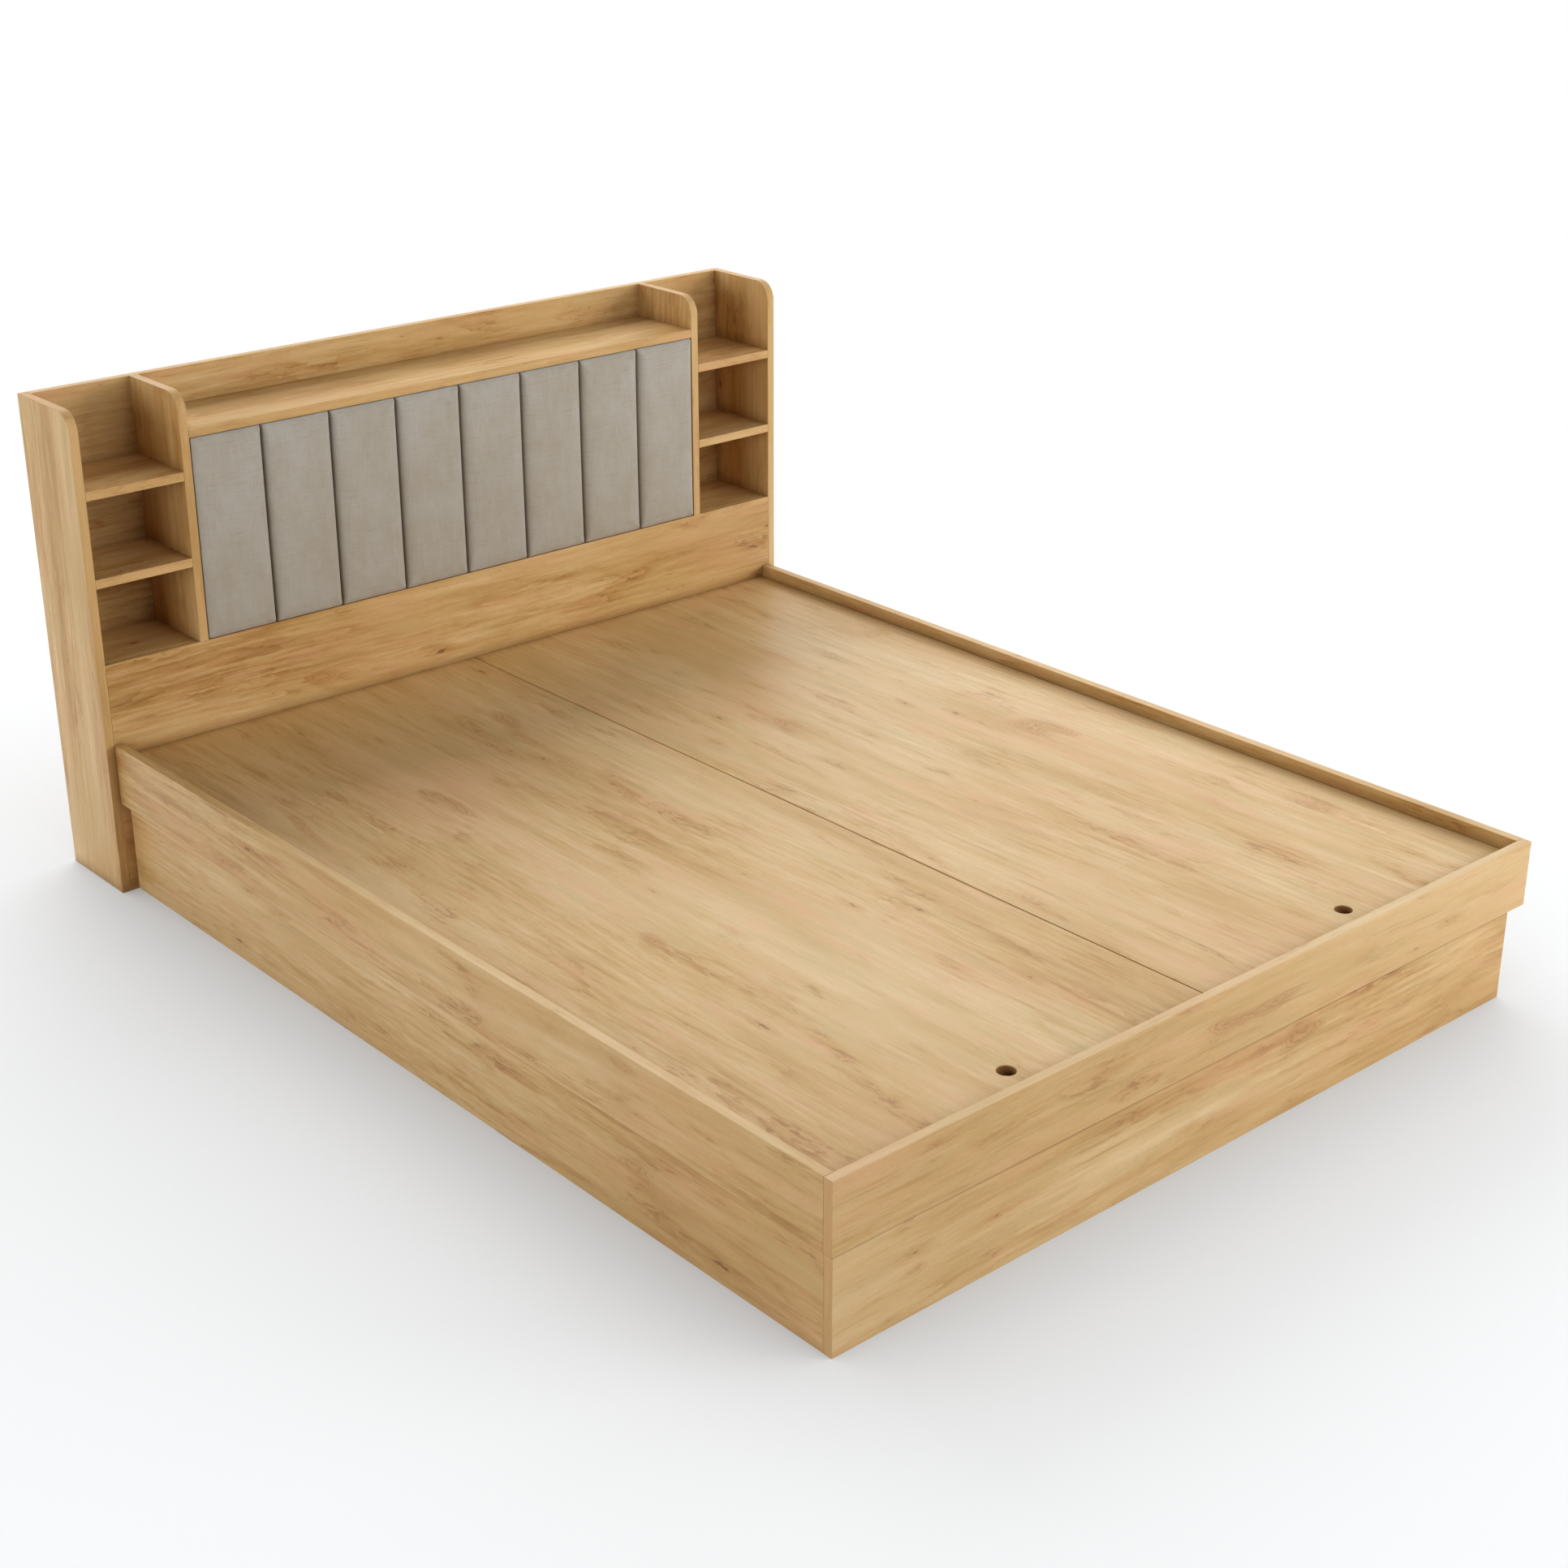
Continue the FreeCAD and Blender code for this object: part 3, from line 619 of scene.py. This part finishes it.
def metal(name, bright, dull, roughness, scale):
    """Plated metal with a soft mottle and fine rubbed marks."""
    finish = Finish(name)
    place = finish.coordinates["Object"]
    mottle_place = finish.scaled(place, scale, scale, scale)
    mottle = finish.noise(mottle_place, detail=4.0, roughness=0.6, distortion=0.6)
    marks = finish.noise(finish.scaled(place, *MARK_SCALE), detail=2.0)
    colour = finish.blend(finish.remap(mottle, *MOTTLE_SPAN), bright, dull)
    finish.set(Base_Color=colour, Metallic=1.0)
    rubbed = finish.remap(marks, *MARK_SPAN, roughness, roughness + MARK_ROUGHNESS)
    finish.set(Roughness=rubbed)
    finish.bump(marks, strength=0.08, distance=0.0002)
    return finish.material


# Upholstery

THREAD_PITCH = 0.0016
THREAD_BEND = 0.0012
THREAD_SLANT = 0.6
THREAD_OVER = (-0.2, 0.2)
YARN_RELIEF = 0.6
# How far the occlusion reaches for the painted shade in the grooves
GROOVE_SHADE_REACH = 0.014
WEAVE_PALE = srgb(184, 180, 172)
# The colour of the painted shade in the grooves
WEAVE_PAINTED_SHADE = srgb(96, 84, 70)
WEAVE_DARK = srgb(161, 155, 145)
WEAVE_WARM = srgb(161, 148, 126)
WEAVE_COOL = srgb(184, 184, 176)

LINEN_FIELDS = {
    # noise: cycles per metre in x, y and z, detail, roughness
    "wander": (60.0, 60.0, 60.0, 2.0, 0.5),
    "upright_yarn": (520.0, 520.0, 26.0, 2.0, 0.5),
    "level_yarn": (26.0, 520.0, 520.0, 2.0, 0.5),
    "slub": (260.0, 260.0, 9.0, 1.0, 0.5),
    "level_slub": (20.0, 20.0, 420.0, 2.0, 0.5),
    "upright_slub": (420.0, 420.0, 30.0, 2.0, 0.5),
    "cloud": (11.0, 11.0, 9.0, 3.0, 0.6),
    "drift": (60.0, 60.0, 24.0, 2.0, 0.6),
}

LINEN_WASHES = (
    # field, where it starts, where it is full, least share, most share, colour
    ("yarn", 0.3, 0.7, 0.2, 0.62, WEAVE_DARK),
    ("checker", 0.1, 0.9, 0.0, 0.2, WEAVE_DARK),
    ("slub", 0.6, 0.75, 0.0, 0.25, WEAVE_PALE),
    ("level_slub", 0.5, 0.72, 0.0, 0.4, WEAVE_WARM),
    ("upright_slub", 0.52, 0.72, 0.0, 0.35, WEAVE_COOL),
    ("cloud", 0.35, 0.65, 0.0, 0.35, WEAVE_WARM),
    ("height", 0.8, 0.47, 0.0, 0.25, WEAVE_WARM),
    ("drift", 0.4, 0.7, 0.0, 0.22, WEAVE_COOL),
    # Painted shade in the grooves between the channels
    ("openness", 0.8, 0.2, 0.0, 0.6, WEAVE_PAINTED_SHADE),
)


def threads(finish, along, bend):
    """A wave for every thread along an axis."""
    turn = 2 * math.pi / THREAD_PITCH
    return finish.math("SINE", finish.math("MULTIPLY", finish.total(along, bend), turn))


def linen():
    """A plain weave of fine slubby yarn, with painted shade down in the grooves between the channels.
    """
    finish = Finish("linen_weave")
    place = finish.coordinates["Object"]
    fields = {}
    for key, (x_cycles, y_cycles, z_cycles, *settings) in LINEN_FIELDS.items():
        fields[key] = finish.noise(finish.scaled(place, x_cycles, y_cycles, z_cycles), *settings)
    x, y, z = finish.split(place)
    bend = finish.about(fields["wander"], THREAD_BEND)
    slanted = finish.total(x, finish.math("MULTIPLY", y, THREAD_SLANT))
    checker = finish.math("MULTIPLY", threads(finish, slanted, bend), threads(finish, z, bend))
    over = finish.remap(checker, *THREAD_OVER)
    yarn = finish.blend(over, fields["upright_yarn"], fields["level_yarn"])
    # Painted shade in the grooves, from an occlusion node
    groove_shade = finish.add("ShaderNodeAmbientOcclusion", samples=8)
    groove_shade.inputs["Distance"].default_value = GROOVE_SHADE_REACH
    fields.update(yarn=yarn, checker=checker, height=z, openness=groove_shade.outputs["AO"])
    finish.set(Base_Color=finish.wash(WEAVE_PALE, fields, LINEN_WASHES), Roughness=0.92)
    finish.set(Sheen_Weight=0.25, Sheen_Roughness=0.5, Specular_IOR_Level=0.2)
    relief = finish.total(finish.math("ABSOLUTE", checker), finish.math("MULTIPLY", yarn, YARN_RELIEF))
    finish.bump(relief, strength=0.3, distance=0.0004)
    return finish.material


def rim_drop(distance):
    """How far the rounded rim lies behind the front, at a distance from its edge."""
    inward = max(1 - distance / PAD_RIM, 0.0)
    return PAD_RIM_DEPTH * (1 - math.sqrt(1 - inward ** 2))


def rim_places(low, high):
    """Places from edge to edge of a channel: close together over the rims, even between them."""
    turns = [math.pi / 2 * step / PAD_RIM_STEPS for step in range(PAD_RIM_STEPS)]
    rim = [PAD_RIM * (1 - math.cos(turn)) for turn in turns]
    count = round((high - low - 2 * PAD_RIM) / PAD_STEP)
    pitch = (high - low - 2 * PAD_RIM) / count
    middle = [low + PAD_RIM + pitch * step for step in range(count + 1)]
    return [low + inset for inset in rim] + middle + [high - inset for inset in reversed(rim)]


def ring(grid):
    """The outer points of a grid, in order round it."""
    top = [column[-1] for column in grid[1:]]
    bottom = [column[0] for column in grid[-2:0:-1]]
    return grid[0] + top + grid[-1][-2::-1] + bottom


def pad_form(low, high, start, draw):
    """A channel before it swells: a fine grid with rounded rims, straight sides and a flat back."""
    columns, rows = rim_places(low.x, high.x), rim_places(low.z, high.z)
    face = low.y - PAD_PROUD + start
    tilt, twist = draw.uniform(-1, 1), draw.uniform(-1, 1)

    def front_place(x, z):
        """A point of the front: rim, crown and a slight unevenness."""
        from_side, from_end = min(x - low.x, high.x - x), min(z - low.z, high.z - z)
        drop = min(math.hypot(rim_drop(from_side), rim_drop(from_end)), PAD_RIM_DEPTH)
        across = 2 * (x - low.x) / (high.x - low.x) - 1
        up = 2 * (z - low.z) / (high.z - low.z) - 1
        crown = PAD_CROWN * (1 - across ** 4) * (1 - up ** 4)
        lean = tilt * across + twist * math.sin(3 * up)
        uneven = PAD_CROWN * PAD_UNEVEN * lean * (1 - across ** 2) * (1 - up ** 2)
        return (x, face + drop - crown + uneven, z)

    form = bmesh.new()
    front = [[form.verts.new(front_place(x, z)) for z in rows] for x in columns]
    back = [[form.verts.new((x, high.y, z)) for z in rows] for x in columns]
    half_way = (face + PAD_RIM_DEPTH + high.y) / 2
    middle = [form.verts.new((v.co.x, half_way, v.co.z)) for v in ring(front)]
    for grid in (front, back):
        for first, second in zip(grid, grid[1:]):
            for a, b, c, d in zip(first, second, second[1:], first[1:]):
                form.faces.new((a, b, c, d))
    for near, far in ((ring(front), middle), (middle, ring(back))):
        for a, b, c, d in zip(near, near[1:] + near[:1], far[1:] + far[:1], far):
            form.faces.new((a, b, c, d))
    bmesh.ops.recalc_face_normals(form, faces=form.faces)
    mesh = bpy.data.meshes.new("padded_channel")
    form.to_mesh(mesh)
    form.free()
    return mesh


def swell(piece, low, high):
    """Fills a channel by cloth pressure. Its sides and its back stay on their board."""
    rest = [vertex.co.copy() for vertex in piece.data.vertices]

    def on_board(point):
        """Whether a point lies on a side, an end or the back."""
        side = min(point.x - low.x, high.x - point.x)
        end = min(point.z - low.z, high.z - point.z)
        return min(side, end, high.y - point.y) < HELD_MARGIN

    held = piece.vertex_groups.new(name="held")
    held.add([i for i, point in enumerate(rest) if on_board(point)], 1.0, "REPLACE")
    scene = bpy.context.scene
    scene.frame_set(1)
    modifier = piece.modifiers.new("cloth", "CLOTH")
    cloth = modifier.settings
    cloth.use_pressure = True
    cloth.uniform_pressure_force = PAD_PRESSURE
    cloth.effector_weights.gravity = 0.0
    cloth.vertex_group_mass = "held"
    cloth.tension_stiffness = PAD_STIFFNESS
    cloth.compression_stiffness = PAD_STIFFNESS
    cloth.bending_stiffness = PAD_BENDING
    modifier.point_cache.frame_start = 1
    modifier.point_cache.frame_end = PAD_FRAMES
    for number in range(1, PAD_FRAMES + 1):
        scene.frame_set(number)
    graph = bpy.context.evaluated_depsgraph_get()
    moved = [vertex.co.copy() for vertex in piece.evaluated_get(graph).data.vertices]
    piece.modifiers.remove(modifier)
    piece.vertex_groups.remove(held)
    scene.frame_set(1)
    for vertex, start, end in zip(piece.data.vertices, rest, moved):
        step = end - start
        share = PAD_CAP * (1 - math.exp(-step.length / PAD_CAP)) / max(step.length, SMALLEST_STEP)
        vertex.co = start + step * share


def run_modifier(piece, kind, **settings):
    """Adds one modifier, sets it and applies it."""
    modifier = piece.modifiers.new(kind.lower(), kind)
    for key, value in settings.items():
        setattr(modifier, key, value)
    bpy.context.view_layer.objects.active = piece
    with bpy.context.temp_override(object=piece, active_object=piece, selected_objects=[piece]):
        bpy.ops.object.modifier_apply(modifier=modifier.name)


def make_pad(number, fabric):
    """One channel, kept inside its own cell."""
    low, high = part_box("channel_pad_%d" % number)
    foremost = low - Vector((0.0, PAD_PROUD, 0.0))
    start = PAD_START
    mesh = pad_form(low, high, start, random.Random(number))
    piece = bpy.data.objects.new("padded_channel_%d" % number, mesh)
    bpy.context.scene.collection.objects.link(piece)
    swell(piece, low, high)
    for vertex in piece.data.vertices:
        vertex.co = Vector(min(max(c, l), h) for c, l, h in zip(vertex.co, foremost, high))
    run_modifier(piece, "SUBSURF", levels=1, render_levels=1)
    for face in piece.data.polygons:
        face.use_smooth = True
    piece.data.materials.append(fabric)
    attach(piece, "bed_frame")
    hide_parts("channel_pad_%d" % number)


def make_pads():
    """All the channels, in one fabric."""
    fabric = linen()
    for number in range(1, PAD_COUNT + 1):
        make_pad(number, fabric)


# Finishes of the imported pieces

OAK_BOARDS = {
    # node: grain axis, thickness axis
    "lid_left": ("y", "z"),
    "lid_right": ("y", "z"),
    "rail_left": ("y", "x"),
    "rail_right": ("y", "x"),
    "rail_foot": ("x", "y"),
    "box_side_left": ("y", "x"),
    "box_side_right": ("y", "x"),
    "box_foot_panel": ("x", "y"),
    "box_head_panel": ("x", "y"),
    "centre_partition": ("y", "x"),
    "centre_bearer": ("y", "z"),
    "cross_partition_left": ("x", "y"),
    "cross_partition_right": ("x", "y"),
    "headboard_side_left": ("z", "x"),
    "headboard_side_right": ("z", "x"),
    "headboard_divider_left": ("z", "x"),
    "headboard_divider_right": ("z", "x"),
    "headboard_front_board": ("x", "y"),
    "headboard_back_panel": ("x", "y"),
    "headboard_ledge_shelf": ("x", "z"),
    "tower_left_floor_shelf": ("x", "z"),
    "tower_left_lower_shelf": ("x", "z"),
    "tower_left_upper_shelf": ("x", "z"),
    "tower_right_floor_shelf": ("x", "z"),
    "tower_right_lower_shelf": ("x", "z"),
    "tower_right_upper_shelf": ("x", "z"),
}

# How strong the print of these boards is, against 1 for the others
BOARD_FIGURES = {"lid_left": 0.68, "lid_right": 0.68, "rail_foot": 0.65}

# How far painted light pales the print of level faces, and where along the bed that starts and is full
PAINTED_LIGHT_TOPS = {
    "lid_left": (0.9, 1.0, 0.1),
    "lid_right": (0.85, 0.85, -0.1),
    "rail_left": (1.0, 0.85, -0.1),
    "rail_right": (0.6, 0.85, -0.1),
    "rail_foot": (1.0, 0.85, -0.1),
}

# Boards with the rail's overhang above them, which get its painted shadow
UNDER_RAIL = ("box_side_left", "box_side_right", "box_foot_panel")

# How much darker or, below zero, paler than the rest a board's colour is: partly its print, partly
# painted light and shade matched to how bright each board looks
BOARD_SHADES = {
    "lid_left": 0.04,
    "lid_right": -0.03,
    "rail_foot": -0.07,
    "box_foot_panel": 0.02,
    "headboard_front_board": 0.04,
    "headboard_side_left": -0.03,
    "headboard_side_right": -0.03,
    "headboard_back_panel": -0.05,
}


def dress(name, material):
    """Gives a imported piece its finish."""
    slots = nodes[name].data.materials
    slots.clear()
    slots.append(material)


def finger_hole(name):
    """The middle of the finger hole of a lid."""
    low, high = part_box(name)
    return ((low.x + high.x) / 2, low.y + HOLE_INSET, low.z)


def dress_boards():
    """Gives every oak board its own stretch of the print."""
    for seed, (name, (along, thickness)) in enumerate(OAK_BOARDS.items(), start=1):
        hole = finger_hole(name) if name.startswith("lid") else None
        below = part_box("rail_foot")[0].z if name in UNDER_RAIL else None
        shade = BOARD_SHADES.get(name, 0.0)
        figure = BOARD_FIGURES.get(name, 1.0)
        pale = PAINTED_LIGHT_TOPS.get(name)
        finish = oak("oak_" + name, along, thickness, seed, shade, figure, pale, hole, below)
        dress(name, finish)


# Radians per metre of the wave that draws the plywood's layers, a pair about every 3 mm
PLY_LAYERS = 2100.0
PINE_PALE = srgb(226, 198, 150)
PINE_DARK = srgb(198, 156, 102)
BEECH_PALE = srgb(214, 172, 130)
BEECH_DARK = srgb(186, 140, 98)


def dress_fittings():
    """Gives plywood, softwood, dowels and metal pieces their finishes."""
    floor_ply = plywood("floor_plywood", "z", PLY_LAYERS)
    wall_ply = plywood("mounting_plywood", "y", PLY_LAYERS)
    pine = plain_wood("pine", "y", PINE_PALE, PINE_DARK, shift=(1.0, 2.0, 3.0))
    pine_up = plain_wood("pine_upright", "z", PINE_PALE, PINE_DARK, shift=(4.0, 5.0, 6.0))
    beech = plain_wood("beech", "x", BEECH_PALE, BEECH_DARK, shift=(0.0, 0.0, 0.0),
                       across=300.0, run=30.0)
    zinc = metal("zinc_plate", srgb(205, 208, 212), srgb(168, 172, 178), 0.32, 160.0)
    screws = metal("screw_plate", srgb(214, 202, 168), srgb(178, 160, 118), 0.28, 400.0)
    hinge = metal("hinge_plate", srgb(196, 198, 202), srgb(160, 163, 168), 0.26, 220.0)
    cams = metal("cam_casting", srgb(172, 174, 178), srgb(138, 140, 146), 0.42, 500.0)
    finishes = {
        "box_floor_left": floor_ply, "box_floor_right": floor_ply,
        "pad_mounting_board": wall_ply, "pad_cores": wall_ply,
        "pad_board_cleat_left": pine_up, "pad_board_cleat_right": pine_up,
        "shelf_dowels": beech, "corner_brackets": zinc, "cam_locks": cams, "cam_bolts": screws,
        "wood_screws": screws, "short_screws": screws, "head_panel_hinge_screws": screws,
    }
    for side in ("left", "right"):
        for place in ("inner", "outer"):
            finishes["floor_cleat_%s_%s" % (side, place)] = pine
        for part in ("fixed_leaves", "moving_leaves", "hinge_pins"):
            finishes["lid_%s_%s" % (side, part)] = hinge
        finishes["lid_%s_leaf_screws" % side] = screws
    for name, material in finishes.items():
        dress(name, material)


# Setting

def make_floor():
    """A pale floor that runs out to white; near the bed its diffuse part keeps the real shadow and its
    glow carries a painted shadow from an occlusion node.
    """
    mesh = bpy.data.meshes.new("floor")
    corners = [(-1, -1), (1, -1), (1, 1), (-1, 1)]
    places = [(x * FLOOR_HALF, y * FLOOR_HALF, 0.0) for x, y in corners]
    mesh.from_pydata(places, [], [(0, 1, 2, 3)])
    floor = bpy.data.objects.new("floor", mesh)
    bpy.context.scene.collection.objects.link(floor)
    material = bpy.data.materials.new("pale_floor")
    material.use_nodes = True
    tree = Tree(material.node_tree)
    tree.tree.nodes.clear()
    direct = tree.seen_directly()
    away = tree.vector_math("LENGTH", tree.add("ShaderNodeTexCoord").outputs["Object"])
    fade = tree.remap(away, FADE_START, FADE_END)
    # The glow's painted shadow: darker where the bed hides the sky
    open_sky = tree.add("ShaderNodeAmbientOcclusion")
    open_sky.inputs["Distance"].default_value = SHADE_REACH
    covered = tree.math("SUBTRACT", 1.0, open_sky.outputs["AO"])
    shaded = tree.math("ADD", tree.math("MULTIPLY", covered, -SHADE_DEPTH), 1.0)
    even = tree.add("ShaderNodeEmission")
    tree.feed(even.inputs["Strength"], tree.remap(fade, 0.0, 1.0, shaded, 1.0))
    paint = tree.add("ShaderNodeBsdfDiffuse")
    # Seen directly the floor is a little blue, against the warm light bounced from the bed
    colour = tree.blend(direct, (FLOOR_BOUNCE,) * 3 + (1.0,), FLOOR_TINT)
    tree.feed(paint.inputs["Color"], colour)
    share = tree.math("MULTIPLY", direct, tree.remap(fade, 0.0, 1.0, FLOOR_GLOW_SHARE, 1.0))
    mix = tree.add("ShaderNodeMixShader")
    for socket, value in zip(mix.inputs, (share, paint.outputs[0], even.outputs[0])):
        tree.feed(socket, value)
    tree.feed(tree.add("ShaderNodeOutputMaterial").inputs["Surface"], mix.outputs[0])
    mesh.materials.append(material)


def make_world():
    """A white backdrop that lights the bed only a little."""
    world = bpy.data.worlds.new("studio")
    world.use_nodes = True
    bpy.context.scene.world = world
    background = world.node_tree.nodes["Background"]
    background.inputs["Color"].default_value = (1.0, 1.0, 1.0, 1.0)
    tree = Tree(world.node_tree)
    level = tree.remap(tree.seen_directly(), 0.0, 1.0, SKY_LEVEL, 1.0)
    tree.feed(background.inputs["Strength"], level)


def make_lamps():
    """Soft rectangular lamps round the bed."""
    for name, place, width, height, watts in LAMPS:
        data = bpy.data.lights.new(name, "AREA")
        data.shape = "RECTANGLE"
        data.size = width
        data.size_y = height
        data.energy = watts
        lamp = bpy.data.objects.new(name, data)
        lamp.location = place
        lamp.visible_glossy = False
        aim = Vector(LAMP_AIM) - Vector(place)
        lamp.rotation_euler = aim.to_track_quat("-Z", "Y").to_euler()
        bpy.context.scene.collection.objects.link(lamp)


def make_camera():
    """The camera of the photo."""
    data = bpy.data.cameras.new("camera")
    data.sensor_width = CAMERA_SENSOR
    data.lens = CAMERA_LENS
    data.dof.use_dof = False
    camera = bpy.data.objects.new("camera", data)
    camera.location = CAMERA_PLACE
    camera.rotation_euler = (math.pi / 2 + CAMERA_PITCH, 0.0, CAMERA_YAW)
    bpy.context.scene.collection.objects.link(camera)
    bpy.context.scene.camera = camera


make_camera()
make_world()
make_lamps()
make_floor()
dress_boards()
dress_fittings()
make_pads()
bpy.context.scene.view_settings.view_transform = "Standard"
